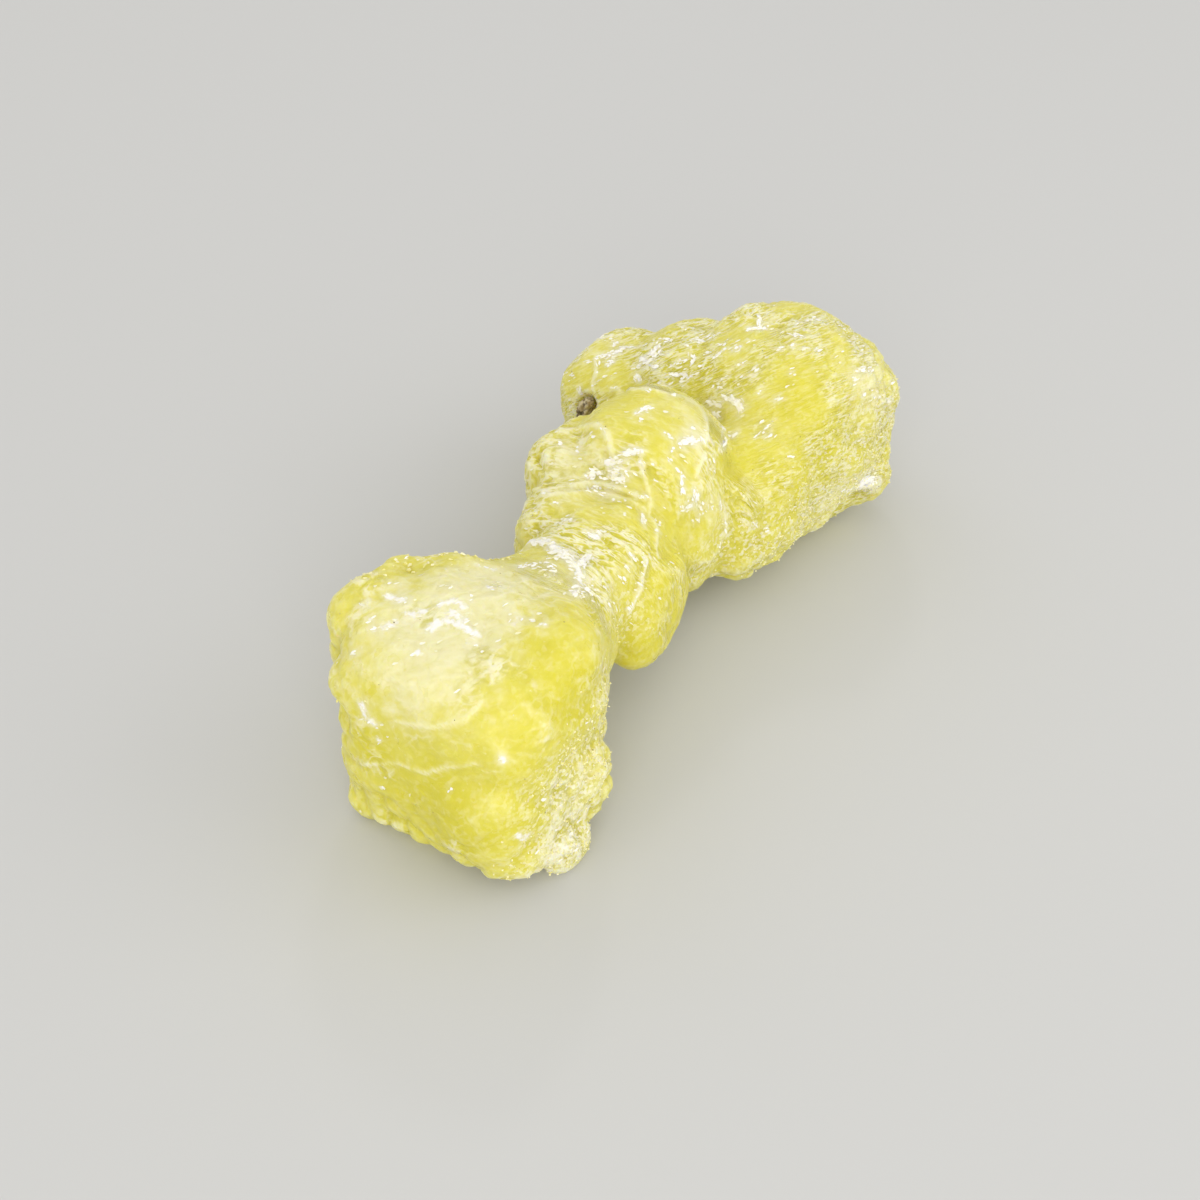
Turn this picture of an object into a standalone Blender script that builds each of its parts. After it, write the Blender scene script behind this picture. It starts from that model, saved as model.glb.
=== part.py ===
"""A yellow brucite specimen: rounded lumps of one mineral, grown together in the shape of a dog bone.

The long axis lies along X, with the blocky head at -X and the broad head at +X. Z is up, and the
origin is under the middle of the specimen, on the surface that it rests on. Lengths are in
millimetres until the meshes are built, which are in metres.
"""

import math
from collections import namedtuple

import bmesh
import bpy
from mathutils import Euler, Matrix, Vector, noise

MM = 0.001

# ---------------------------------------------------------------------------------------------
# Driving dimensions
# ---------------------------------------------------------------------------------------------
BLOCKY_HEAD = Vector((-31.6, -4.9, -0.5))  # the foot of each growth centre, near the resting plane
WAIST = Vector((-9.1, -3.4, -0.5))
KNOB = Vector((5.9, 0.1, -0.5))
BROAD_HEAD = Vector((24.9, -0.9, -0.5))

GRID = 0.6  # spacing of the grid on which the lumps are fused
CREASE_ROUNDING = 4  # smoothing passes, which soften the valleys where lumps meet
WORN_BASE = 0.9  # how much of the lowest lumps is broken off flat, where the specimen rests

SWELL_SIZE = 7.0  # slow undulation of every face
SWELL_HEIGHT = 0.5
SCALLOP_SIZE = 3.4  # small domes that scallop the outline
SCALLOP_HEIGHT = 0.55
SCALLOP_LEVEL = 0.35  # the height in a dome at which the skin keeps its place
LEDGE_PITCH = 5.5  # growth layers that end in low steps
LEDGE_HEIGHT = 0.55
LEDGE_LEAN = Vector((0.45, -0.35, 0.82))  # the layers lie across this direction
LEDGE_WANDER = 0.8  # how far a step's line strays, in pitches
LEDGE_FACE = 0.22  # the share of a pitch that the step itself takes
LEDGE_PATCH = 13.0  # the layers show in patches of about this size
LEDGE_COVER = 0.45  # how much of the skin the patches take
LEDGE_CONTRAST = 1.6  # how sharply a patch begins
END_FACE = Vector((-41.5, -6.0, 13.0))  # the middle of the blocky head's flat end
END_FACE_REACH = 15.0  # the distance from it within which the steps are lower

CLUSTER_TRIANGLES = 9300
CRUMB_SIZE = Vector((1.1, 1.2, 1.5))
CRUMB_TURN = (0, 20, 0)
CRUMB_SQUARENESS = 2.6
CRUMB_SUBDIVISIONS = 2
GRAIN_SIZE = 0.9  # the rough grains of the crumb
GRAIN_HEIGHT = 0.3
FIT_GAP = 0.3  # clear space between the crumb and the brucite

Lump = namedtuple("Lump", "centre half_size turn squareness", defaults=((0, 0, 0), 2.0))
Mark = namedtuple("Mark", "centre radius rise")


def blocky_head():
    """The head at -X: a block with a flat end face, a level top and a nodule at its foot."""
    return BLOCKY_HEAD, [
        Lump((0.8, -0.5, 13.3), (10.4, 12.2, 12.4), (0, 0, 6), 4.0),
        Lump((1.7, 8.2, 16.7), (7.1, 6.4, 7.7), (0, 0, 0), 4.5),
        Lump((-1.7, 3.4, 5.5), (7.9, 7.4, 5.7), (0, 0, 0), 4.0),
        Lump((-1.7, -3.6, 7.2), (7.9, 6.4, 6.6), (0, 0, 0), 2.8),
        Lump((-2.2, -7.3, 9.7), (7.9, 5.6, 8.2), (0, 0, 0), 3.2),
        Lump((8.0, -4.5, 16.0), (6.5, 6.0, 8.0), (0, 0, 0), 2.4),
        Lump((6.0, 5.0, 18.0), (8.0, 8.0, 6.0), (0, 0, 0), 2.8),
        Lump((-0.6, -12.8, 3.0), (3.0, 2.4, 2.9), (0, 0, 0), 2.8),
        Lump((3.0, -11.2, 7.6), (5.2, 2.8, 5.4), (0, 0, 0), 2.4),
    ]


def waist():
    """The narrow middle, which bridges the two heads and clears the ground."""
    return WAIST, [
        Lump((0.0, -0.5, 14.0), (13.0, 7.0, 8.0), (0, 0, 0), 2.3),
        Lump((-8.4, -0.4, 13.2), (6.0, 8.2, 9.2), (0, 0, 0), 2.4),
        Lump((6.0, 5.0, 14.2), (8.0, 6.5, 7.0), (0, 0, 0), 2.4),
        Lump((3.5, -5.6, 11.3), (7.5, 3.8, 6.8), (0, 0, 12), 2.2),
    ]


def knob():
    """The round-topped lump beside the broad head, with a smaller dome on its +Y side."""
    return KNOB, [
        Lump((1.0, -1.0, 16.9), (9.0, 8.8, 10.2), (0, 0, 0), 2.5),
        Lump((-3.4, 4.9, 16.7), (6.0, 6.2, 6.3), (0, 0, -8), 3.2),
        Lump((1.0, -6.0, 13.0), (7.5, 5.0, 9.0), (0, 0, 0), 2.2),
        Lump((9.0, 2.5, 11.5), (8.0, 9.5, 9.5), (0, 0, 0), 2.4),
    ]


def broad_head():
    """The head at +X, the widest part, with a wing at +Y and a low knob at its far corner."""
    return BROAD_HEAD, [
        Lump((4.2, -4.6, 13.8), (12.0, 11.3, 13.9), (0, 0, -12), 2.7),
        Lump((-3.5, 12.7, 12.0), (8.6, 8.0, 10.0), (0, 0, 0), 2.8),
        Lump((0.0, 6.0, 15.0), (9.0, 8.0, 9.5), (0, 0, 0), 2.5),
        Lump((-8.0, -7.0, 11.5), (10.0, 7.0, 9.5), (0, 0, 0), 2.4),
        Lump((11.0, -9.0, 13.0), (6.5, 6.5, 8.5), (0, 0, 0), 2.3),
        Lump((9.0, -13.0, 7.0), (5.0, 4.0, 4.5), (0, 0, 0), 2.2),
        Lump((8.0, 5.5, 8.5), (6.5, 7.5, 8.0), (0, 0, 20), 3.2),
        Lump((-4.5, 16.5, 8.0), (4.5, 3.6, 5.0), (0, 0, 0), 2.6),
        Lump((12.6, 0.0, 16.0), (3.8, 5.6, 5.2), (0, 0, 10), 2.8),
    ]


def notches_and_nubs():
    """Single features of the surface: hollows where rise is negative, low bumps where it isn't."""
    return [
        Mark(Vector((-39.8, 4.8, 19.0)), 2.8, 0.8),  # the upper lobe of the end face
        Mark(Vector((-41.0, 3.4, 16.0)), 2.6, -1.4),  # between it and the lower lobe
        Mark(Vector((-37.2, -17.4, 3.6)), 3.6, 1.3),  # low on the flank, beside the foot
        Mark(Vector((-30.6, -19.6, 4.6)), 2.6, -1.0),  # above the nodule at the foot
        Mark(Vector((-32.6, 9.0, 22.8)), 4.2, 1.2),  # the head's squarest corner
        Mark(Vector((-26.0, 6.0, 23.6)), 2.8, -1.0),  # a nick in the head's top edge
        Mark(Vector((-30.0, 7.5, 24.0)), 4.5, 0.2),  # and the edge beside the nick
        Mark(Vector((-35.5, 4.2, 24.0)), 4.4, 0.9),  # the flat top, filled out
        Mark(Vector((-31.0, 4.2, 24.0)), 4.4, 0.8),
        Mark(Vector((-26.5, -17.8, 9.5)), 3.2, 0.8),  # a swelling low on the flank
        Mark(Vector((-14.3, -4.6, 21.0)), 2.4, 0.9),  # the rim where the head overlaps the waist
        Mark(Vector((-13.9, -7.3, 20.4)), 2.4, 1.0),  # the same rim further down
        Mark(Vector((-15.0, -9.6, 18.4)), 2.4, 0.9),
        Mark(Vector((-1.4, -6.4, 19.8)), 3.4, -0.7),  # the cleft between the waist and the knob
        Mark(Vector((-2.6, -9.0, 17.0)), 3.4, -0.7),
        Mark(Vector((28.5, 6.6, 23.6)), 4.2, -1.2),  # the step up from the wing to the main lobe
        Mark(Vector((29.5, 2.0, 25.5)), 5.0, 1.1),  # the crest above that step
        Mark(Vector((35.0, -10.5, 24.5)), 5.0, -1.0),  # the head's far shoulder slopes
        Mark(Vector((36.5, -17.0, 18.5)), 3.5, 0.6),  # and bulges again below
        Mark(Vector((38.5, -15.6, 11.8)), 2.8, -1.4),  # above the low knob
        Mark(Vector((29.0, -16.0, 4.0)), 4.5, -2.4),  # between the low knob and the far face
    ]


def crumb_seat():
    """The middle of the host-rock crumb, in the crevice between the knob and the broad head."""
    return Vector((13.2, 13.0, 16.6))


def rounded_lump(bm, foot, lump, subdivisions=4):
    """Adds one closed lump: an ellipsoid at squareness 2, nearer a rounded box above that."""
    made = bmesh.ops.create_icosphere(bm, subdivisions=subdivisions, radius=1.0)
    turn = Euler([math.radians(a) for a in lump.turn]).to_matrix()
    for vert in made["verts"]:
        reach = sum(abs(c) ** lump.squareness for c in vert.co) ** (1 / lump.squareness)
        local = Vector(c / reach * h for c, h in zip(vert.co, lump.half_size))
        vert.co = (foot + Vector(lump.centre) + turn @ local) * MM


def linked_object(name, bm):
    """Turns a bmesh into an object of the scene, and frees it."""
    mesh = bpy.data.meshes.new(name)
    bm.to_mesh(mesh)
    bm.free()
    obj = bpy.data.objects.new(name, mesh)
    bpy.context.scene.collection.objects.link(obj)
    return obj


def apply_modifiers(obj):
    """Replaces the object's mesh by the one that its modifiers make."""
    graph = bpy.context.evaluated_depsgraph_get()
    obj.data = bpy.data.meshes.new_from_object(obj.evaluated_get(graph))
    obj.modifiers.clear()


def fuse_lumps(name, regions):
    """One object that holds every lump, fused on a grid into a single skin."""
    bm = bmesh.new()
    for foot, lumps in regions:
        for lump in lumps:
            rounded_lump(bm, foot, lump)
    obj = linked_object(name, bm)
    fuse = obj.modifiers.new("fuse", "REMESH")
    fuse.mode = "VOXEL"
    fuse.voxel_size = GRID * MM
    soften = obj.modifiers.new("soften", "SMOOTH")
    soften.factor = 0.5
    soften.iterations = CREASE_ROUNDING
    apply_modifiers(obj)
    return obj


def swell(at):
    return SWELL_HEIGHT * noise.noise(at / SWELL_SIZE)


def scallops(at):
    """Shallow domes packed side by side, highest at the middle of each."""
    nearest = noise.voronoi(at / SCALLOP_SIZE)[0][0]
    return SCALLOP_HEIGHT * (SCALLOP_LEVEL - nearest * nearest)


def ledges(at):
    """Growth layers, each thickening slowly and then ending in a step down to the next."""
    along = at.dot(LEDGE_LEAN) / LEDGE_PITCH + LEDGE_WANDER * noise.noise(at / (2 * LEDGE_PITCH))
    share = along - math.floor(along)
    rise = share / (1 - LEDGE_FACE) if share < 1 - LEDGE_FACE else (1 - share) / LEDGE_FACE
    patch = min(1.0, max(0.0, LEDGE_COVER + LEDGE_CONTRAST * noise.noise(at / LEDGE_PATCH)))
    patch *= min(1.0, (at - END_FACE).length_squared / END_FACE_REACH**2)
    return LEDGE_HEIGHT * patch * (rise - 0.5)


def marks(at, placed):
    """The sum of the single hollows and bumps, each fading out at its own radius."""
    total = 0.0
    for mark in placed:
        near = 1 - (at - mark.centre).length_squared / mark.radius**2
        if near > 0:
            total += mark.rise * near * near
    return total


def roughen(obj):
    """Moves every point of the skin along its normal."""
    placed = notches_and_nubs()
    moves = []
    for vert in obj.data.vertices:
        at = vert.co / MM
        height = swell(at) + scallops(at) + ledges(at) + marks(at, placed)
        moves.append(vert.normal * height * MM)
    for vert, move in zip(obj.data.vertices, moves):
        vert.co += move


def thin_out(obj, triangles):
    """Fewer, larger triangles where the skin is flat."""
    obj.data.calc_loop_triangles()
    thin = obj.modifiers.new("thin out", "DECIMATE")
    thin.ratio = triangles / len(obj.data.loop_triangles)
    apply_modifiers(obj)


def seat_on_ground(obj):
    """Breaks the lowest lumps off flat, and puts the origin under the middle of the specimen."""
    bm = bmesh.new()
    bm.from_mesh(obj.data)
    ground = min(vert.co.z for vert in bm.verts) + WORN_BASE * MM
    everything = bm.verts[:] + bm.edges[:] + bm.faces[:]
    cut = bmesh.ops.bisect_plane(
        bm, geom=everything, dist=1e-7, plane_co=(0, 0, ground), plane_no=(0, 0, -1), clear_outer=True
    )
    rims = [edge for edge in cut["geom_cut"] if isinstance(edge, bmesh.types.BMEdge)]
    bmesh.ops.triangulate(bm, faces=bmesh.ops.holes_fill(bm, edges=rims, sides=0)["faces"])
    lowest = Vector(min(vert.co[axis] for vert in bm.verts) for axis in range(3))
    highest = Vector(max(vert.co[axis] for vert in bm.verts) for axis in range(3))
    middle = (lowest + highest) / 2
    shift = Vector((-middle.x, -middle.y, -ground))
    bmesh.ops.translate(bm, verts=bm.verts, vec=shift)
    bm.to_mesh(obj.data)
    bm.free()
    return shift


def crumb():
    """The crumb of brown host rock, rough all over, and half sunk in the brucite."""
    bm = bmesh.new()
    shape = Lump((0, 0, 0), CRUMB_SIZE, CRUMB_TURN, CRUMB_SQUARENESS)
    rounded_lump(bm, crumb_seat(), shape, CRUMB_SUBDIVISIONS)
    obj = linked_object("host_rock_crumb", bm)
    for vert in obj.data.vertices:
        vert.co += vert.normal * GRAIN_HEIGHT * MM * noise.noise(vert.co / MM / GRAIN_SIZE)
    return obj


def cut_pocket(cluster):
    """Opens the brucite round the crumb, a little wider than the crumb itself."""
    bm = bmesh.new()
    room = GRAIN_HEIGHT / 2 + FIT_GAP
    size = CRUMB_SIZE + Vector((room, room, room))
    shape = Lump((0, 0, 0), size, CRUMB_TURN, CRUMB_SQUARENESS)
    rounded_lump(bm, crumb_seat(), shape, CRUMB_SUBDIVISIONS)
    cutter = linked_object("crumb_pocket", bm)
    pocket = cluster.modifiers.new("crumb pocket", "BOOLEAN")
    pocket.operation = "DIFFERENCE"
    pocket.solver = "EXACT"
    pocket.object = cutter
    apply_modifiers(cluster)
    bpy.data.objects.remove(cutter)


def plain_material(name, colour, roughness):
    material = bpy.data.materials.new(name)
    material.use_nodes = True
    material.diffuse_color = (*colour, 1.0)
    shader = material.node_tree.nodes["Principled BSDF"]
    shader.inputs["Base Color"].default_value = (*colour, 1.0)
    shader.inputs["Roughness"].default_value = roughness
    shader.inputs["Metallic"].default_value = 0.0
    return material


def brucite_material():
    """Lemon-yellow brucite with a waxy, lightly frosted surface."""
    return plain_material("yellow_brucite", (0.80, 0.72, 0.24), 0.45)


def host_rock_material():
    """Brown, granular rock."""
    return plain_material("brown_host_rock", (0.30, 0.22, 0.11), 0.85)


def main():
    for obj in list(bpy.data.objects):
        bpy.data.objects.remove(obj)
    cluster = fuse_lumps("brucite_cluster", [blocky_head(), waist(), knob(), broad_head()])
    roughen(cluster)
    thin_out(cluster, CLUSTER_TRIANGLES)
    cut_pocket(cluster)
    shift = seat_on_ground(cluster)
    rock = crumb()
    rock.data.transform(Matrix.Translation(shift))
    cluster.data.materials.append(brucite_material())
    rock.data.materials.append(host_rock_material())


main()
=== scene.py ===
import math

import bmesh
import bpy
import numpy as np
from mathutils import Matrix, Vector, noise
from mathutils.bvhtree import BVHTree


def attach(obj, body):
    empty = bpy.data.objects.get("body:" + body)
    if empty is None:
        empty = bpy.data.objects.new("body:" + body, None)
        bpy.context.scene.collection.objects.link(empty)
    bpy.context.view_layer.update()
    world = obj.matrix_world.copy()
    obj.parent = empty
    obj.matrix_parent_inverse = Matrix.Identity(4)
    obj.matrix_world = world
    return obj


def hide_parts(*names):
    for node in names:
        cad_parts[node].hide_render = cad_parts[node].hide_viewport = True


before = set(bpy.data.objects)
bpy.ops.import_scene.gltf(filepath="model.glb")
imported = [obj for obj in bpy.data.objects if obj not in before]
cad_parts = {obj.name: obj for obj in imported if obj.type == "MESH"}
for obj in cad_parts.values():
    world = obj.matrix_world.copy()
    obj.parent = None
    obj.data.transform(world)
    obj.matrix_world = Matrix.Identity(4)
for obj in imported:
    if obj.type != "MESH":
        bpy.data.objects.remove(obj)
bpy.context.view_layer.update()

# --- The studio -----------------------------------------------------------
# A pale, even sheet of card with the specimen lying on it. Two wide soft lights face it from the
# camera's side, weaker ones stand behind it and overhead, a small one gives the glints, and a pale
# even sky fills the rest.
AIM = Vector((-0.0107, -0.0064, 0.0136))
CAMERA_DISTANCE = 0.180
CAMERA_AZIMUTH = math.radians(-54)
CAMERA_ELEVATION = math.radians(43)
LENS, SENSOR_WIDTH = 50, 36  # millimetres
NEAREST_SEEN = 0.005
WARM, NEUTRAL = (1.0, 0.99, 0.97), (1.0, 1.0, 1.0)
SKY_STRENGTH = 0.78
CARD_REACH = 1.5
CARD_GREY = (0.60, 0.60, 0.59, 1)
CARD_ROUGHNESS = 0.8

back = Vector((
    math.sin(CAMERA_AZIMUTH) * math.cos(CAMERA_ELEVATION),
    -math.cos(CAMERA_AZIMUTH) * math.cos(CAMERA_ELEVATION),
    math.sin(CAMERA_ELEVATION),
))


def placed(name, data):
    """A new object in the scene."""
    obj = bpy.data.objects.new(name, data)
    bpy.context.scene.collection.objects.link(obj)
    return obj


camera = placed("camera", bpy.data.cameras.new("camera"))
bpy.context.scene.camera = camera
camera.data.lens = LENS
camera.data.sensor_width = SENSOR_WIDTH
camera.data.clip_start = NEAREST_SEEN
camera.location = AIM + back * CAMERA_DISTANCE
camera.rotation_mode = "QUATERNION"
camera.rotation_quaternion = (-back).to_track_quat("-Z", "Y")


def soft_light(name, place, width, watts, colour):
    """A square soft light that faces the specimen."""
    lamp = bpy.data.lights.new(name, "AREA")
    lamp.size = width
    lamp.energy = watts
    lamp.color = colour
    obj = placed(name, lamp)
    obj.location = place
    obj.rotation_mode = "QUATERNION"
    obj.rotation_quaternion = (-Vector(place)).to_track_quat("-Z", "Y")


soft_light("window_light", (0.05, 0.34, 0.36), 0.30, 0.13, WARM)
soft_light("glint", (0.30, 0.22, 0.36), 0.06, 0.12, NEUTRAL)
soft_light("front_fill", (-0.42, -0.30, 0.25), 0.45, 1.24, NEUTRAL)
soft_light("side_fill", (0.22, -0.42, 0.24), 0.40, 0.58, NEUTRAL)
soft_light("overhead", (0.0, -0.05, 0.50), 0.40, 0.05, NEUTRAL)

world = bpy.data.worlds.new("studio")
world.use_nodes = True
sky = world.node_tree.nodes["Background"]
sky.inputs["Color"].default_value = (*WARM, 1.0)
sky.inputs["Strength"].default_value = SKY_STRENGTH
bpy.context.scene.world = world
bpy.context.scene.view_settings.view_transform = "Standard"

bm = bmesh.new()
bmesh.ops.create_grid(bm, x_segments=1, y_segments=1, size=CARD_REACH)
floor = placed("card_floor", bpy.data.meshes.new("card_floor"))
bm.to_mesh(floor.data)
bm.free()
card = bpy.data.materials.new("card")
card.use_nodes = True
paper = card.node_tree.nodes["Principled BSDF"]
paper.inputs["Base Color"].default_value = CARD_GREY
paper.inputs["Roughness"].default_value = CARD_ROUGHNESS
floor.data.materials.append(card)

# --- The brucite ----------------------------------------------------------
# One grown mass of lemon-yellow brucite: waxy and see-through where it is clean, milky where
# it is cloudy inside, flaky where its cleavage leaves end, and sugary low on the flanks.
MM = 0.001
SKIN_GRID = 0.355  # millimetres between points of the skin
FACET_ROUNDING = 7  # smoothing passes that take the solid's flat facets away
GROUND_GAP = 0.1  # millimetres above the ground where the relief begins
SETTLED = 1.5  # and over which it fades in

HEAD_LEAVES = Vector((0.28, 0.68, 0.68)).normalized()  # square to the cleavage in both heads
WAIST_LEAVES = Vector((0.97, 0.15, 0.15)).normalized()  # and in the waist and the knob
WAIST_ENDS = (-17.0, 10.5)  # millimetres along the specimen
WAIST_BLEND = 1.0  # millimetres either side over which one grain turns into the other
PLAIN_BLEND = (-3.0, -1.0)  # and beyond the waist over which the blocky head begins
LEAF_STRETCH = 2.5  # how far the relief is drawn out along the cleavage
HEAD_GRAIN, WAIST_GRAIN = 4.0, 1.8  # how far its colours are
PLAIN_STRETCH = 0.3  # and in the blocky head, which hardly shows it

SCALLOP = (3.2, 0.3)  # size across and height in millimetres
SCALLOP_BROW = 0.30  # how much of a scallop stands proud
LOBE = (2.1, 1.5)
LOBE_SHIFT = 40  # millimetres, so that the lobes and the scallops don't coincide
CHIP = (1.2, 0.24)
LEAF_STEP = (1.2, 0.16)
LEAF_SLOPE = 0.75  # the share of each step that is its slope, before it drops away
PLATE_SIZES = ((2.0, 1.0), (0.8, 0.5))  # size across in millimetres and share of the pattern
PLATE_RISE = 0.10  # millimetres
RIPPLE = (0.8, 0.05)
PLATE_LEVEL, PLATE_EDGE = 0.55, 0.1  # where in the pattern a plate begins, and how softly
WANDER = ((7.0, 1.6), (1.8, 0.5))  # how the leaves bend: size across and amount, in millimetres
CALMING, CALM_SHARE = 24, 0.85  # passes that smooth the calm patches' lumps away, and how much they do
SADDLE_CALMING = 300  # and those that soften the creases on either side of the saddle
# How the steps, wrinkles and spots of frost come and go: size in millimetres, level and swing.
PATCHY, LIVELY, SPOTTY = (5.0, 0.6, 1.2), (4.5, 0.38, 1.5), (2.4, -0.10, 1.0)
CALM_LOSS, CALM_LOBE_LOSS, CLEAR_LOSS = 0.8, 0.3, 0.6  # of the relief, the lobes and the scallops
FROST_SPREAD = 1.15  # how far each white patch reaches past its width
HAZE_MARGIN, HAZE_SPREAD = 0.4, 1.8  # the cloud round each, in millimetres and in its widths
HAZE_FULLNESS = 0.55
BROAD_PASSES, FINE_PASSES = 120, 6  # smoothing passes that a crown and an edge stand out from
CROWN_HEIGHT, EDGE_HEIGHT = 2.4, 0.16  # millimetres from a hollow to a crown, and across an edge
LEAST_LIVELY, MOST_FROST = 0.17, 1.2

# Each patch is x, y, z and radius in millimetres, and strength.
MILKY = [
    (-34, -4, 26, 9, 1), (-28, -3, 25, 7, 0.8), (-40, -6, 24, 5, 0.7), (-22, -3, 23, 6, 0.6),
    (-35, -19, 3, 4, 1), (-31, -19, 9, 6, 0.7), (-15, -8, 21, 3, 0.4), (-2, 5, 23, 5, 0.8),
    (7, -7, 25, 3, 0.7), (6, -10, 18, 4, 0.5), (30, -16, 22, 6, 0.6), (30, -17, 8, 3, 1),
    (23, -16, 9, 6, 0.6), (31, -6, 27, 6, 0.25), (20, 14, 21, 5, 0.2), (-32, 8, 16, 7, 0.6),
    (-8, 8, 12, 6, 0.5), (24, 21, 8, 7, 0.7), (40, 4, 15, 7, 0.6), (38, -10, 6, 6, 0.8),
    (-23.5, -2, 23.5, 4, 0.9), (-20.5, -7, 22, 3, 0.5), (18, -5, 22, 6, 0.5), (9, -3, 26, 4, 0.4),
    (-4, 0, 21, 6, 0.4), (8, -10, 15, 5, 0.2),
]
CLEAR = [
    (-28, -16, 22, 5, 1), (-29, -17, 19, 5, 1), (-42, -10, 10, 7, 1), (-42, -2, 14, 5, 0.6),
    (-41, -16, 11, 5, 0.6), (-9, -13, 12, 5, 1), (-4, -12, 11, 4, 0.8), (20, 3, 23, 3, 0.8),
    (19, -5, 22, 3, 0.4), (10, -10, 18, 4, 0.5), (21, -11, 23, 4, 0.3), (14, -14, 14, 5, 0.3),
    (9, 4, 26, 4, 0.4), (-20, 8, 20, 6, 0.8), (-37, 9, 8, 6, 0.8), (8, 10, 18, 5, 0.7),
    (27, 12, 18, 6, 0.7), (42, 4, 8, 6, 0.7), (15, 18, 10, 5, 0.7), (38, -2, 22, 5, 0.5),
]
SUGARY = [
    (-33, -19, 12, 7, 1), (-32, -19, 5, 6, 1), (-25, -18, 13, 7, 0.9), (-37, -18, 4, 5, 0.7),
    (29, -17, 17, 8, 0.8), (22, -16, 9, 7, 1), (12, -15, 10, 7, 1), (36, -15, 13, 8, 0.9),
    (6, -11, 11, 5, 0.8), (-12, -10, 15, 5, 0.7), (-30, 9, 6, 8, 0.9), (30, 12, 5, 9, 1),
    (42, -5, 5, 8, 0.9), (0, 9, 9, 7, 0.8), (-20, 9, 5, 7, 0.8), (22, -16, 17, 5, 0.6),
]
LOBED = [
    (-41, 6, 12, 5, 1), (-38, 8, 20, 5, 0.8), (-41, -2, 3, 6, 1), (-39, -12, 2, 6, 1),
    (-26, -18, 6, 6, 1), (-32, -20, 12, 4, 0.8), (34, -15, 20, 5, 1), (36, -14, 10, 6, 1),
    (22, -14, 3, 6, 1), (12, -13, 5, 6, 1), (-2, 9, 20, 4, 0.6), (-8, 7, 16, 5, 0.6),
    (30, 14, 8, 9, 0.9), (-24, 9, 8, 8, 0.9), (43, -4, 8, 8, 0.9), (8, 12, 10, 7, 0.8),
]
SADDLE = [
    (-18.5, 1, 20, 4.5, 1), (-18.5, -3, 21, 4.5, 1), (-17.5, -7, 20.5, 4.5, 1),
    (-17.5, -10.5, 17.5, 4, 1), (-17, -12, 13.5, 4, 0.8), (-23, -2.5, 23.3, 4, 0.6),
    (-20, -12.5, 16, 3.5, 0.8), (-21, -13, 12, 3.5, 0.7), (-0.7, -6, 20, 2.2, 0.9), (0, -5, 23, 2, 0.9),
    (-3, -8, 19, 2, 0.7),
]
CALM = [
    (-43, -6, 14, 10, 1), (-34, -5, 26, 9, 0.9), (-28, -16, 21, 6, 0.9), (-9, -13, 12, 5, 0.6),
    (4, 3, 26, 6, 0.5), (20, -12, 20, 8, 0.5), (-34, 10, 14, 8, 0.6), (40, 3, 14, 8, 0.4),
    (-41, -15, 8, 5, 0.7), (-38, -12, 22, 6, 0.9), (-36, -17, 17, 5, 0.8), (-21, -6, 22.5, 4, 0.8),
    (-23, 0, 23.5, 4, 0.8), (6, -2, 25, 6, 0.7), (3, -9, 20, 5, 0.6), (-4, 2, 22, 5, 0.5),
    (8.5, -12, 15, 5, 0.8), (10.5, -14, 8, 4, 0.6),
]
FROSTED_BEHIND = [
    (25, 18, 14, 4, 0.6), (40, 2, 17, 4, 0.6), (-30, 9, 18, 4, 0.6), (2, 11, 15, 3, 0.7),
    (33, 12, 16, 3, 0.5), (-34, -18, 4, 2.5, 0.9), (30, -17, 8, 1.6, 1), (-39, 8, 12, 3, 0.5),
    (12, 15, 8, 3, 0.5),
]
FLAKY = [
    (20, 14, 21, 7, 0.8), (18, 7, 22, 5, 0.7), (27, 4, 25, 7, 0.65), (29, -5, 27, 7, 0.8),
    (33, -13, 25, 5, 0.6), (17, -2, 21, 3, 0.8), (-10, -4, 20, 6, 0.7), (-6, 5, 19, 5, 0.6),
    (-15, -7, 21, 4, 1), (-1, -1, 24, 4, 0.9), (7, -7, 25, 3, 1), (3, -9, 20, 4, 0.8),
    (-32, -5, 25, 8, 0.8), (-26, -4, 25, 6, 0.5), (-42, -1, 18, 3, 1), (-35, -18, 5, 4, 0.8),
    (30, -17, 8, 3, 1), (32, -17, 19, 4, 0.6), (13, 15, 17, 4, 0.8), (-28, 8, 19, 6, 0.6),
    (0, 11, 15, 6, 0.7), (28, 18, 12, 8, 0.7), (42, 3, 15, 7, 0.7), (-38, 6, 15, 5, 0.5),
]

FRAME = 1200  # the camera's view is measured out below in this many steps each way
COURSE_STEP = 0.25  # millimetres between the places along a line
LINE_REACH = 2  # millimetres round a line within which it is felt
PATCH_EDGE = 1.4  # how sharply a patch ends

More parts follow.
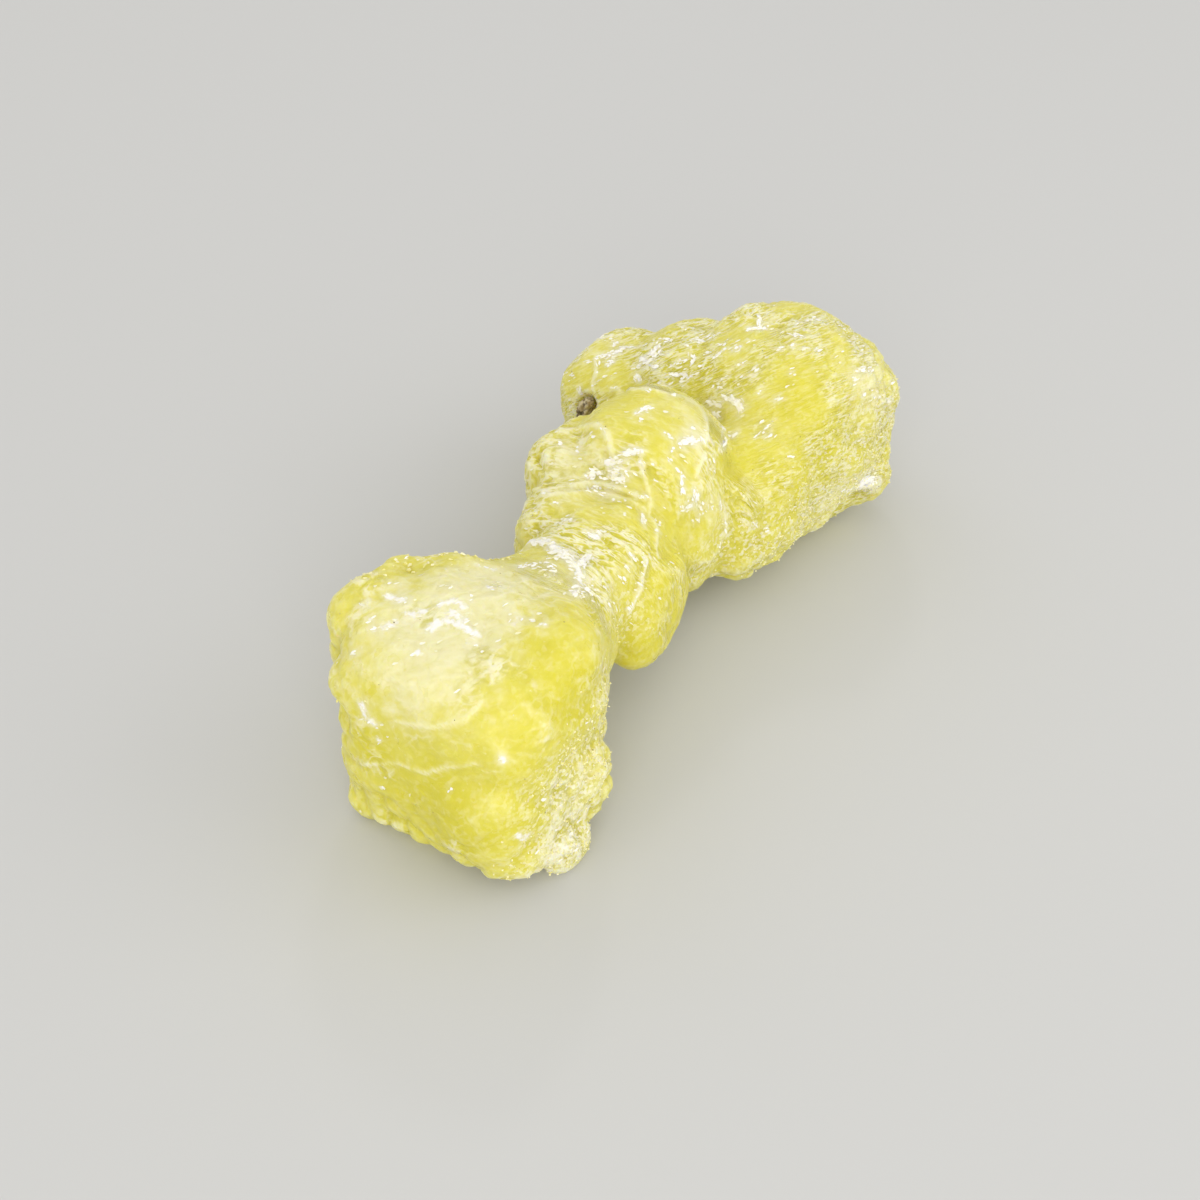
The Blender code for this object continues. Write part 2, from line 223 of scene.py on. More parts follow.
# Each line of the surface is its width and height in millimetres, then its course over the frame. The
# material paints these lines cream: real pale lips and veins, and a painted rim light along the knob's and
# the mid lobe's outlines.
RIMS = {
    "mid_lobe_lip": (0.45, 0.40, [(561, 431), (581, 428), (599, 426), (608, 434), (612, 450)]),
    "upper_ledge": (0.30, 0.45, [(573, 486), (594, 483), (615, 486), (632, 493), (645, 498)]),
    "lower_ledge": (0.30, 0.35, [(530, 497), (552, 496), (573, 494), (594, 491), (615, 496), (645, 509)]),
    "waist_edge": (
        0.30, 0.25, [(641, 460), (644, 475), (650, 494), (650, 518), (656, 530), (657, 556)],
    ),
    "waist_arc": (0.30, 0.25, [(646, 561), (641, 585), (634, 601), (628, 612)]),
    "saddle_lip": (0.75, 0.30, [(531, 543), (547, 543), (559, 551), (570, 561), (580, 576), (574, 596)]),
    "knob_lip": (
        0.40, 0.30,
        [
            (600, 392), (618, 390), (634, 391), (653, 391), (676, 396), (690, 401), (700, 410),
            (706, 423), (706, 440),
        ],
    ),
    "knob_cheek": (0.30, 0.20, [(706, 454), (701, 462), (696, 475)]),
    "knob_fold": (0.30, 0.20, [(724, 516), (727, 529), (719, 547), (711, 558), (703, 561)]),
    "upper_vein": (0.28, 0.18, [(397, 721), (434, 727), (466, 718), (481, 703)]),
    "lower_vein": (0.26, 0.14, [(359, 763), (397, 763), (416, 770), (425, 773), (444, 767), (475, 763)]),
    "wing_step": (0.25, 0.25, [(596, 359), (596, 375), (592, 383), (596, 394)]),
    "crest_step": (0.22, 0.20, [(763, 323), (793, 323), (823, 324)]),
}
CLEFTS = {"under_ledge": (0.3, 0.18, [(578, 490), (596, 487), (614, 490), (629, 498)])}

# Each patch of white cleavage leaves is its half width in millimetres and how full it is, then
# its course over the frame.
FROST = {
    "head_top": [
        (0.51, 0.85, [(388, 596), (403, 601)]), (0.46, 0.85, [(408, 614), (424, 612)]),
        (0.46, 0.68, [(384, 627), (396, 623)]), (0.46, 0.51, [(373, 629)]),
        (0.59, 0.85, [(432, 629), (438, 623)]), (0.43, 0.77, [(440, 605), (454, 600), (464, 607)]),
        (0.62, 0.77, [(454, 613), (463, 618)]), (0.50, 0.85, [(449, 621), (464, 628), (477, 635)]),
        (0.43, 0.85, [(418, 653)]), (0.46, 0.51, [(470, 643)]), (0.46, 0.77, [(490, 588)]),
        (0.34, 0.85, [(544, 624)]), (0.28, 0.59, [(532, 620)]), (0.54, 0.42, [(519, 617), (514, 623)]),
        (0.46, 0.34, [(471, 596)]), (0.43, 0.42, [(475, 564), (495, 569)]),
        (0.62, 0.38, [(518, 566), (543, 562), (556, 573)]),
        (0.46, 0.42, [(393, 583)]), (0.46, 0.34, [(362, 603), (367, 608)]), (0.34, 0.51, [(372, 620)]),
    ],
    "head_end": [
        (0.35, 0.45, [(352, 655)]), (0.39, 0.72, [(361, 704), (365, 717)]), (0.42, 0.81, [(372, 723)]),
        (0.35, 0.72, [(378, 740)]), (0.31, 0.9, [(502, 760)]), (0.49, 0.72, [(518, 836), (526, 838)]),
        (0.25, 0.54, [(381, 787)]), (0.22, 0.45, [(450, 790)]),
    ],
    "saddle": [
        (0.55, 0.85, [(531, 543), (547, 543), (559, 551), (570, 561), (580, 576)]),
        (0.40, 0.6, [(580, 576), (574, 596)]), (0.38, 1, [(588, 556), (580, 565)]),
        (0.80, 0.45, [(587, 588)]), (0.35, 0.9, [(590, 534), (596, 537)]),
        (0.20, 1, [(556, 524), (571, 519)]), (0.30, 0.5, [(559, 503)]), (0.40, 0.9, [(594, 535)]),
    ],
    "waist": [
        (0.20, 0.9, [(588, 488), (600, 487)]), (0.25, 0.9, [(586, 476), (597, 475)]),
        (0.60, 0.75, [(613, 477), (622, 478)]), (0.26, 1, [(606, 463), (621, 460)]),
        (0.28, 1, [(624, 453), (641, 451)]), (0.25, 0.8, [(643, 515), (643, 524)]),
        (0.40, 0.5, [(628, 567)]), (0.25, 0.8, [(561, 443)]), (0.32, 0.6, [(578, 448)]),
        (0.22, 0.7, [(642, 462)]), (0.20, 0.8, [(645, 496)]), (0.20, 0.6, [(624, 514)]),
        (0.25, 0.7, [(657, 531)]), (0.22, 0.7, [(660, 523)]),
        (0.12, 0.8, [(646, 561), (641, 585), (634, 601), (628, 612)]),
        (0.12, 0.5, [(594, 483), (632, 493), (645, 498)]),
        (0.10, 0.5, [(552, 496), (594, 491), (629, 503)]),
    ],
    "knob": [
        (0.26, 1, [(636, 413), (649, 407)]), (0.28, 0.5, [(640, 421)]),
        (0.50, 0.8, [(684, 440), (695, 441)]), (0.28, 0.9, [(701, 440)]), (0.25, 0.8, [(679, 443)]),
        (0.18, 0.9, [(692, 428)]), (0.18, 0.7, [(662, 432), (673, 439)]), (0.18, 0.6, [(672, 450)]),
        (0.15, 0.6, [(669, 460)]), (0.28, 0.9, [(682, 476)]), (0.18, 0.8, [(677, 470)]),
        (0.20, 0.8, [(682, 480), (684, 491)]), (0.32, 0.8, [(694, 488), (697, 499)]),
        (0.26, 1, [(685, 509), (692, 506)]), (0.22, 0.7, [(681, 507)]), (0.28, 0.6, [(688, 498)]),
        (0.16, 1, [(720, 502), (721, 509)]), (0.18, 0.7, [(647, 391)]), (0.20, 0.7, [(674, 394)]),
        (0.14, 0.4, [(724, 516), (727, 529), (719, 547)]), (0.25, 0.35, [(600, 427), (609, 438)]),
    ],
    "wing": [
        (0.24, 1, [(597, 357), (612, 354), (623, 348)]), (0.15, 1, [(623, 347), (636, 347)]),
        (0.17, 1, [(612, 346), (618, 342)]), (0.18, 1, [(608, 365), (614, 361)]),
        (0.24, 1, [(651, 354), (658, 345)]), (0.20, 0.9, [(653, 357), (659, 353)]),
        (0.26, 1, [(641, 358), (651, 365), (656, 368)]), (0.22, 0.9, [(634, 367), (641, 366)]),
        (0.28, 1, [(637, 375), (639, 381)]), (0.19, 1, [(672, 366), (678, 361), (686, 359)]),
        (0.19, 0.8, [(686, 354), (695, 357), (691, 365)]),
        (0.19, 1, [(670, 373), (677, 375), (685, 374)]),
        (0.21, 1, [(681, 381), (686, 376), (691, 376)]), (0.23, 1, [(693, 339), (704, 341)]),
        (0.18, 0.9, [(688, 345)]), (0.40, 0.4, [(657, 338), (672, 341)]), (0.32, 0.5, [(601, 338)]),
        (0.42, 0.4, [(586, 361)]), (0.20, 0.9, [(594, 384)]), (0.13, 0.6, [(596, 360), (596, 375)]),
        (0.20, 0.9, [(579, 388), (582, 394)]),
    ],
    "under_wing": [
        (0.21, 1, [(708, 403), (720, 405)]), (0.22, 1, [(713, 412), (718, 417)]),
        (0.26, 1, [(723, 397), (730, 400)]), (0.42, 0.9, [(731, 400), (741, 404), (740, 410)]),
        (0.18, 1, [(721, 427), (736, 433)]), (0.30, 0.9, [(723, 445), (726, 441)]),
        (0.10, 0.9, [(756, 437), (764, 431)]), (0.10, 0.9, [(764, 439), (771, 433)]),
        (0.10, 0.9, [(764, 429), (775, 420)]), (0.24, 0.5, [(792, 456)]),
        (0.20, 0.5, [(753, 523), (768, 531)]),
    ],
    "crest": [
        (0.15, 0.9, [(714, 356), (727, 348)]), (0.10, 0.8, [(704, 355), (716, 349), (727, 339)]),
        (0.18, 1, [(758, 315), (760, 325)]), (0.22, 1, [(748, 329), (765, 327)]),
        (0.21, 0.9, [(806, 320), (821, 320)]), (0.28, 0.7, [(793, 334), (804, 337)]),
        (0.30, 0.7, [(782, 348)]), (0.30, 0.6, [(794, 347)]), (0.26, 0.6, [(805, 348)]),
        (0.26, 0.5, [(817, 349)]), (0.20, 0.8, [(749, 340)]), (0.15, 0.9, [(731, 351), (741, 347)]),
        (0.25, 0.6, [(742, 364)]), (0.10, 0.8, [(754, 371), (767, 363)]), (0.20, 0.7, [(791, 372)]),
        (0.20, 0.8, [(759, 393)]), (0.16, 0.9, [(774, 401), (781, 397)]),
    ],
    "far_side": [
        (0.30, 0.6, [(857, 341)]), (0.35, 0.6, [(858, 370), (872, 370)]), (0.50, 0.6, [(856, 380)]),
        (0.18, 0.6, [(864, 395)]), (0.60, 0.6, [(860, 484), (868, 480)]), (0.30, 0.5, [(893, 384)]),
        (0.28, 0.5, [(846, 492), (852, 488)]),
    ],
}


def patches(points, spots):
    """How strongly each point, in millimetres, lies in the listed patches, from 0 to 1."""
    left = np.ones(len(points))
    for x, y, z, radius, amount in spots:
        away = ((points - (x, y, z)) ** 2).sum(1) / radius**2
        left *= 1 - amount * np.exp(-PATCH_EDGE * away)
    return 1 - left


def under(x, y):
    """The place on the skin, in millimetres, that the camera sees at a point of the frame."""
    depth = camera.data.lens / camera.data.sensor_width * FRAME
    way = camera.rotation_quaternion @ Vector((x - FRAME / 2, FRAME / 2 - y, -depth))
    return skin_tree.ray_cast(camera.location, way)[0]


def course(corners):
    """Closely spaced points on the skin along the line through the corners, in millimetres."""
    seats = [under(*corner) / MM for corner in corners]
    places = seats[:1]
    for start, end in zip(seats, seats[1:]):
        steps = math.ceil((end - start).length / COURSE_STEP)
        places += [start.lerp(end, (step + 1) / steps) for step in range(steps)]
    return np.array([skin_tree.find_nearest(place * MM)[0] / MM for place in places])


def lines(points, listed):
    """How closely each point follows one of the listed lines, and how high it is lifted."""
    close, lift = np.zeros(len(points)), np.zeros(len(points))
    for width, height, corners in listed:
        places = course(corners)
        low, high = places.min(0) - LINE_REACH, places.max(0) + LINE_REACH
        inside = np.nonzero(((points > low) & (points < high)).all(1))[0]
        gaps = ((points[inside, None] - places[None]) ** 2).sum(2).min(1)
        shape = np.exp(-gaps / width**2)
        close[inside] = np.maximum(close[inside], shape)
        lift[inside] = np.maximum(lift[inside], shape * height)
    return close, lift


def sampled(points, size, pattern):
    """The pattern at each point, drawn at that size in millimetres."""
    return np.array([pattern(Vector(point)) for point in points / size])


def swinging(points, size, level, swing):
    """A soft pattern that swings about its level."""
    return level + swing * sampled(points, size, noise.noise)


def smoothed(values, edges, passes):
    """Each point's value evened out with its neighbours', along the mesh's edges."""
    count = np.bincount(edges.ravel(), minlength=len(values))
    values = values.copy()
    for _ in range(passes):
        total = np.zeros_like(values)
        np.add.at(total, edges[:, 0], values[edges[:, 1]])
        np.add.at(total, edges[:, 1], values[edges[:, 0]])
        values = (values + (total.T / count).T) / 2
    return values


def read(layer, name, width=3, kind=np.float32):
    """What a mesh says of its points or edges, a row for each."""
    values = np.empty(len(layer) * width, kind)
    layer.foreach_get(name, values)
    return values.reshape(-1, width)


def marked_on(mesh, name, values):
    """Keeps a value for each point of the mesh, for its material to read."""
    mesh.attributes.new(name, "FLOAT", "POINT").data.foreach_set("value", values.astype(np.float32))


def reshaped(mesh, points):
    """Moves the mesh's points to these places, in millimetres."""
    mesh.vertices.foreach_set("co", (points * MM).astype(np.float32).ravel())
    mesh.update()


def surface_of(obj):
    """The object's surface, on which places can be found."""
    bpy.context.view_layer.update()
    return BVHTree.FromObject(obj, bpy.context.evaluated_depsgraph_get())


def regrown(node, name, grid, rounding):
    """A finely meshed copy of a solid, on an even grid, without its facets."""
    obj = placed(name, node.data.copy())
    fine = obj.modifiers.new("fine", "REMESH")
    fine.mode = "VOXEL"
    fine.voxel_size = grid * MM
    rounded = obj.modifiers.new("rounded", "SMOOTH")
    rounded.factor = 0.5
    rounded.iterations = rounding
    graph = bpy.context.evaluated_depsgraph_get()
    obj.data = bpy.data.meshes.new_from_object(obj.evaluated_get(graph))
    obj.modifiers.clear()
    obj.data.materials.clear()
    obj.data.name = name
    obj.data.polygons.foreach_set("use_smooth", np.ones(len(obj.data.polygons), bool))
    return obj


def scallop(at):
    return SCALLOP_BROW - noise.voronoi(at)[0][0] ** 2


def chip(at):
    centre = noise.voronoi(at)[1][0]
    lean = noise.cell_vector(centre) - Vector((0.5, 0.5, 0.5))
    return (at - centre).dot(lean)


def leaf_steps(points, across, wander):
    """The height of overlapping leaves that lie square to the given direction."""
    along = (points @ np.array(across) + wander) / LEAF_STEP[0]
    share = along - np.floor(along)
    return np.minimum(share / LEAF_SLOPE, (1 - share) / (1 - LEAF_SLOPE)) - 0.5


def drawn_out(points, across, stretch):
    """The points squeezed together across the cleavage, so that a pattern is drawn out along it."""
    across = np.array(across)
    return points + np.outer(points @ across, across) * stretch


def eased(values, low, high):
    share = np.clip((values - low) / (high - low), 0, 1)
    return share * share * (3 - 2 * share)


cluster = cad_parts["brucite_cluster"]
skin = regrown(cluster, "brucite_skin", SKIN_GRID, FACET_ROUNDING)
mesh = skin.data
edges = read(mesh.edges, "vertices", 2, np.int32)
points = read(mesh.vertices, "co") / MM
milky, clear, sugary, flaky, calm, frosted_behind, lobed, saddle = (
    patches(points, spots)
    for spots in (MILKY, CLEAR, SUGARY, FLAKY, CALM, FROSTED_BEHIND, LOBED, SADDLE)
)
resting = np.clip((points[:, 2] - GROUND_GAP) / SETTLED, 0, 1)
points = points + (smoothed(points, edges, SADDLE_CALMING) - points) * (saddle * resting)[:, None]
points = points + (smoothed(points, edges, CALMING) - points) * (CALM_SHARE * calm * resting)[:, None]
reshaped(mesh, points)
normals = read(mesh.vertices, "normal")
skin_tree = surface_of(skin)
rim, rim_lift = lines(points, RIMS.values())
_, cleft_lift = lines(points, CLEFTS.values())
frost_strokes = [stroke for region in FROST.values() for stroke in region]
_, frosted = lines(
    points, [(FROST_SPREAD * width, fullness, corners) for width, fullness, corners in frost_strokes]
)
_, haze = lines(points, [
    (HAZE_MARGIN + HAZE_SPREAD * width, HAZE_FULLNESS * fullness, corners)
    for width, fullness, corners in frost_strokes
])
milky = 1 - (1 - milky) * (1 - haze)
near_end, far_end = WAIST_ENDS
ringed_share = eased(points[:, 0], near_end - WAIST_BLEND, near_end + WAIST_BLEND)
ringed_share *= 1 - eased(points[:, 0], far_end - WAIST_BLEND, far_end + WAIST_BLEND)
plain_share = 1 - eased(points[:, 0], near_end + PLAIN_BLEND[0], near_end + PLAIN_BLEND[1])
wander = sum(amount * sampled(points, size, noise.noise) for size, amount in WANDER)
heads, waist = (leaf_steps(points, across, wander) for across in (HEAD_LEAVES, WAIST_LEAVES))
patchy = np.clip(swinging(points, *PATCHY), 0, 1)
rough = 1 - CALM_LOSS * calm
lively = swinging(points, *LIVELY) + 0.6 * flaky + 0.08 * sugary
lively -= 0.5 * calm + 0.35 * plain_share * (1 - sugary)
spotty = flaky * np.maximum(swinging(points, *SPOTTY), 0)
frost = frosted * (1 + 0.25 * plain_share) + 0.8 * frosted_behind + 0.5 * spotty
plate = 0.28 * flaky + 0.50 * frosted_behind - 0.05 * calm
for across, stretch, share in (
    (HEAD_LEAVES, LEAF_STRETCH, 1 - ringed_share - plain_share),
    (WAIST_LEAVES, LEAF_STRETCH, ringed_share),
    (HEAD_LEAVES, PLAIN_STRETCH, plain_share),
):
    for size, strength in PLATE_SIZES:
        plate += strength * share * sampled(drawn_out(points, across, stretch), size, noise.noise)
lift = rim_lift - cleft_lift + PLATE_RISE * eased(plate, PLATE_LEVEL, PLATE_LEVEL + PLATE_EDGE)
lift += LOBE[1] * lobed * (1 - CALM_LOBE_LOSS * calm) * sampled(points + LOBE_SHIFT, LOBE[0], scallop)
lift += rough * (
    SCALLOP[1] * (1 - CLEAR_LOSS * clear) * sampled(points, SCALLOP[0], scallop)
    + CHIP[1] * (0.5 + 0.5 * np.maximum(flaky, sugary)) * sampled(points, CHIP[0], chip)
    + LEAF_STEP[1] * patchy * (0.4 + 0.6 * flaky) * (heads + (waist - heads) * ringed_share)
    + RIPPLE[1] * sampled(points, RIPPLE[0], noise.noise)
)
points = points + normals * (lift * resting)[:, None]
points[:, 2] = np.maximum(points[:, 2], 0)
reshaped(mesh, points)
skin_tree = surface_of(skin)
normals = read(mesh.vertices, "normal")
# The crown and edge marks measure the broad and fine relief; the material paints light and shade from
# them.
broad = ((points - smoothed(points, edges, BROAD_PASSES)) * normals).sum(1)
fine = ((points - smoothed(points, edges, FINE_PASSES)) * normals).sum(1)
for name, values in (
    ("milky", milky), ("clear", clear), ("sugary", sugary), ("flaky", flaky), ("rim", rim),
    ("lively", np.clip(lively, LEAST_LIVELY, 1)), ("frost", np.clip(frost, 0, MOST_FROST)),
    ("ringed", ringed_share), ("plain", plain_share),
    ("crown", np.clip(0.5 + broad / CROWN_HEIGHT, 0, 1)),
    ("edge", np.clip(0.5 + fine / EDGE_HEIGHT, 0, 1)),
):
    marked_on(mesh, name, values)


def new_material(name):
    material = bpy.data.materials.new(name)
    material.use_nodes = True
    return material, material.node_tree, material.node_tree.nodes["Principled BSDF"]


def add(tree, kind, links=None, **settings):
    """Adds a shader node. links maps its sockets to values or to other sockets."""
    node = tree.nodes.new("ShaderNode" + kind)
    for key, value in settings.items():
        setattr(node, key, value)
    for socket, value in (links or {}).items():
        if isinstance(value, bpy.types.NodeSocket):
            tree.links.new(value, node.inputs[socket])
        else:
            node.inputs[socket].default_value = value
    return node


def scaled(tree, value, factor):
    return add(tree, "Math", {0: value, 1: factor}, operation="MULTIPLY").outputs[0]


def vector_of(tree, operation, links, wanted="Vector"):
    return add(tree, "VectorMath", links, operation=operation).outputs[wanted]


def total(tree, first, *rest):
    for value in rest:
        first = add(tree, "Math", {0: first, 1: value}, operation="ADD").outputs[0]
    return first


def weighed(tree, *pairs):
    """The values added up, each with its own weight."""
    return total(tree, *(scaled(tree, value, weight) for value, weight in pairs))


def mixed(tree, factor, under, over):
    """One colour over another."""
    return add(tree, "Mix", {0: factor, 6: under, 7: over}, data_type="RGBA").outputs[2]


def grain_mixed(tree, factor, under, over):
    """One set of coordinates over another."""
    return add(tree, "Mix", {0: factor, 4: under, 5: over}, data_type="VECTOR").outputs[1]


def ramp(tree, value, low, high, most=1.0):
    """0 at low, the most at high, and smooth between them."""
    links = {"Value": value, "From Min": low, "From Max": high, "To Max": most}
    return add(tree, "MapRange", links, interpolation_type="SMOOTHSTEP").outputs["Result"]


def noise_of(tree, vector, size, detail, warp=0.0):
    """Soft noise whose lumps have that size in millimetres."""
    links = {"Vector": vector, "Scale": 1 / (size * MM), "Detail": detail, "Distortion": warp}
    return add(tree, "TexNoise", links).outputs["Fac"]


def attribute(tree, name):
    return add(tree, "Attribute", attribute_name=name).outputs["Fac"]


def place(tree):
    return add(tree, "TexCoord").outputs["Object"]


def group(name, inputs, outputs):
    """An empty shader node group, with its input and output nodes."""
    tree = bpy.data.node_groups.new(name, "ShaderNodeTree")
    for label, (kind, value) in inputs.items():
        socket = tree.interface.new_socket(label, in_out="INPUT", socket_type="NodeSocket" + kind)
        socket.default_value = value
    for label, kind in outputs.items():
        tree.interface.new_socket(label, in_out="OUTPUT", socket_type="NodeSocket" + kind)
    return tree, tree.nodes.new("NodeGroupInput").outputs, tree.nodes.new("NodeGroupOutput").inputs


def grouped(tree, made, links):
    """The outputs of a shader node group placed in the tree."""
    return add(tree, "Group", links, node_tree=made).outputs


def bumped(tree, shader, height, strength, depth):
    """Gives the shader a bump of that depth in millimetres."""
    bump = add(tree, "Bump", {"Height": height, "Strength": strength, "Distance": depth * MM})
    tree.links.new(bump.outputs["Normal"], shader.inputs["Normal"])


def ranged(tree, value, least, most):
    """A value from 0 to 1 turned into one from the least to the most."""
    return add(tree, "MapRange", {"Value": value, "To Min": least, "To Max": most}).outputs["Result"]


# The coordinates drawn out along the cleavage leaves and squeezed across them.
leaf_grain, given, made = group(
    "leaf grain", {"Across": ("Vector", (0, 0, 1)), "Stretch": ("Float", 4.0)}, {"Vector": "Vector"}
)
at = place(leaf_grain)
depth = vector_of(leaf_grain, "DOT_PRODUCT", {0: at, 1: given["Across"]}, "Value")
push = scaled(leaf_grain, depth, given["Stretch"])
squeezed = vector_of(leaf_grain, "SCALE", {0: given["Across"], "Scale": push})
drawn = vector_of(leaf_grain, "ADD", {0: at, 1: squeezed})
leaf_grain.links.new(drawn, made["Vector"])

# Little flat crystal faces, each with a lean and a tint of its own.
crystal_faces, given, made = group(
    "crystal faces",
    {"Vector": ("Vector", (0, 0, 0)), "Scale": ("Float", 1000.0)},
    {"Height": "Float", "Tint": "Float"},
)
cells = add(crystal_faces, "TexVoronoi", {"Vector": given["Vector"], "Scale": given["Scale"]}).outputs
gap = vector_of(crystal_faces, "SUBTRACT", {0: given["Vector"], 1: cells["Position"]})
gap = vector_of(crystal_faces, "SCALE", {0: gap, "Scale": given["Scale"]})
lean = vector_of(crystal_faces, "SUBTRACT", {0: cells["Color"], 1: (0.5, 0.5, 0.5)})
faces = vector_of(crystal_faces, "DOT_PRODUCT", {0: gap, 1: lean}, "Value")
crystal_faces.links.new(faces, made["Height"])
crystal_faces.links.new(add(crystal_faces, "SeparateXYZ", {0: cells["Color"]}).outputs[0], made["Tint"])

# Fine wrinkles: thin ridges that follow one another like the lines of a map.
wrinkles, given, made = group(
    "wrinkles",
    {"Vector": ("Vector", (0, 0, 0)), "Scale": ("Float", 1000.0), "Ridges": ("Float", 6.0)},
    {"Ridge": "Float"},
)
contours = {"Vector": given["Vector"], "Scale": given["Scale"], "Detail": 2.0, "Distortion": 0.3}
relief = add(wrinkles, "TexNoise", contours).outputs["Fac"]
stacked = scaled(wrinkles, relief, given["Ridges"])
folded = add(wrinkles, "Math", {0: stacked, 1: 0.5}, operation="PINGPONG").outputs[0]
wrinkles.links.new(ramp(wrinkles, folded, 0.5, 0.0), made["Ridge"])

OLIVE = (0.61, 0.555, 0.03, 1)
DEEP_YELLOW = (0.72, 0.65, 0.04, 1)
LEMON = (0.765, 0.70, 0.10, 1)
CLOUDY = (0.855, 0.812, 0.46, 1)
CREAM = (0.94, 0.895, 0.60, 1)
FROST_WHITE = (1.0, 0.98, 0.91, 1)
ROSY_WHITE = (0.98, 0.93, 0.88, 1)
SUGAR_WHITE = (0.93, 0.89, 0.68, 1)
FACE_SIZE, GRIT_SIZE = 0.85, 0.34  # millimetres
BROAD_WRINKLE, FINE_WRINKLE = 7.0, 3.0  # millimetres across one whole set of ridges
BROAD_RIDGES, FINE_RIDGES = 8.0, 4.5  # ridges in a set
STREAK, FIBRE, LACE = 1.8, 1.2, 0.6  # millimetres along the cleavage
CLOUD, MOTTLE = 6.0, 1.5  # millimetres
WARP_SIZE, WARP_REACH = 1.2, 0.6  # millimetres: the patterns are bent by this much
BUMP_HEIGHT = 0.40  # millimetres
GLOW_DEPTH = 3.0  # millimetres that light travels inside
GLOW_COLOURS = (1.0, 0.9, 0.3)  # how far of that its red, green and blue go
GLOW_CLEAR, GLOW_WHITE = 0.75, 0.15  # how much of the light goes in
GLOSSIEST, DULLEST = 0.26, 0.52
SHEEN_COLOUR = (1.0, 0.95, 0.62, 1)
BRUCITE_IOR = 1.57

# Each of these is where a mark starts in its pattern, where it is full, and how strong it is there.
DEEP, MILK = (0.36, 0.68), (0.56, 1.16)
DARK_FIBRE, PALE_FIBRE = (0.46, 0.28, 0.6), (0.55, 0.72, 0.7)
DARK_FINE_WRINKLE, PALE_FINE_WRINKLE = (0.42, 0.0, 0.55), (0.60, 0.95)
DARK_BROAD_WRINKLE, PALE_BROAD_WRINKLE = (0.32, 0.0, 0.5), (0.75, 0.98)
# Fine hollows turn olive as painted shade; raised edges turn cream, partly as wear and partly as a painted
# highlight.
HOLLOW_SHADE, EDGE_WEAR_AND_LIGHT = (0.42, 0.15, 0.5), (0.60, 0.85, 0.6)
# In the sugary crust the dark cells are painted shade between the grains and the pale ones are the grains.
GRIT_SHADE, PALE_GRIT = (0.45, 0.10, 0.45), (0.50, 0.95, 0.85)
# Cream along the rims: pale lips and veins, and a painted rim light along the knob's and the mid lobe's
# outlines.
PALE_LIP_AND_RIM_LIGHT = (0.30, 0.60, 0.6)
ROSY = (0.45, 0.60)
SHOWING = (0.48, 0.75, 1.0)
WHITE_FROM, WHITE_TO = (0.74, -0.10), (0.90, 0.16)  # its start and end, and their shift in the blocky head

material, tree, shader = new_material("yellow_brucite")
at = place(tree)
warp = add(tree, "TexNoise", {"Vector": at, "Scale": 1 / (WARP_SIZE * MM), "Detail": 2.0}).outputs["Color"]
warp = vector_of(tree, "SCALE", {0: warp, "Scale": WARP_REACH * MM})
bent = vector_of(tree, "ADD", {0: at, 1: warp})
milk, clean, sugar, flake, rim_mark, crown, edge, alive, share, ringed, plain = (
    attribute(tree, name)
    for name in (
        "milky", "clear", "sugary", "flaky", "rim", "crown", "edge", "lively", "frost", "ringed", "plain",
    )
)
head_grain, waist_grain, plain_grain = (
    grouped(tree, leaf_grain, {"Across": across, "Stretch": stretch})["Vector"]
    for across, stretch in (
        (HEAD_LEAVES, HEAD_GRAIN), (WAIST_LEAVES, WAIST_GRAIN), (HEAD_LEAVES, PLAIN_STRETCH)
    )
)
drawn = grain_mixed(tree, ringed, head_grain, waist_grain)
drawn = grain_mixed(tree, plain, drawn, plain_grain)
drawn = vector_of(tree, "ADD", {0: drawn, 1: warp})
small_faces = grouped(tree, crystal_faces, {"Vector": bent, "Scale": 1 / (FACE_SIZE * MM)})
grit_faces = grouped(tree, crystal_faces, {"Vector": at, "Scale": 1 / (GRIT_SIZE * MM)})
broad_ridge, fine_ridge = (
    grouped(tree, wrinkles, {"Vector": drawn, "Scale": 1 / (size * MM), "Ridges": ridges})["Ridge"]
    for size, ridges in ((BROAD_WRINKLE, BROAD_RIDGES), (FINE_WRINKLE, FINE_RIDGES))
)
fibres = noise_of(tree, drawn, FIBRE, 3)
clouds = noise_of(tree, at, CLOUD, 3)
mottle = noise_of(tree, at, MOTTLE, 4, 0.5)
streaks = noise_of(tree, drawn, STREAK, 2, 0.3)
lace = noise_of(tree, bent, LACE, 3)
white_from, white_to = (
    total(tree, scaled(tree, plain, shift), level) for level, shift in (WHITE_FROM, WHITE_TO)
)
white = ramp(tree, total(tree, lace, scaled(tree, share, 0.50)), white_from, white_to)

